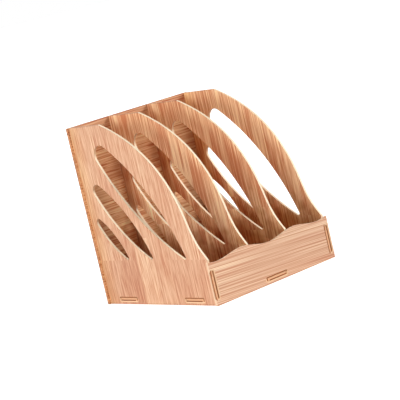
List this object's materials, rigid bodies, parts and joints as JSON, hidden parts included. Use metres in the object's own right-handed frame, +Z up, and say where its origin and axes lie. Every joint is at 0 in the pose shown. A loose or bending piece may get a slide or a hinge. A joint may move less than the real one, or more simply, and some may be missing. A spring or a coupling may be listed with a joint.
{
  "type": "file rack",
  "caption": "Desktop file rack of slotted wooden boards, with sloped uprights pierced by leaf-shaped cut-outs and a low wavy front.",
  "frame": {"origin": "middle of the footprint, on the surface that the rack stands on", "axes": "+Z up, front towards -Y, +X to the right seen from the front"},
  "size_m": [0.25, 0.262, 0.283],
  "materials": {
    "upright_board": "satin wood-grain film, grain upright",
    "cross_board": "satin wood-grain film, grain across"
  },
  "bodies": {
    "root": {"left_side_panel": "upright_board", "right_side_panel": "upright_board", "left_divider": "upright_board", "right_divider": "upright_board", "bottom_panel": "cross_board", "front_panel": "cross_board", "back_panel": "cross_board"}
  },
  "joints": []
}
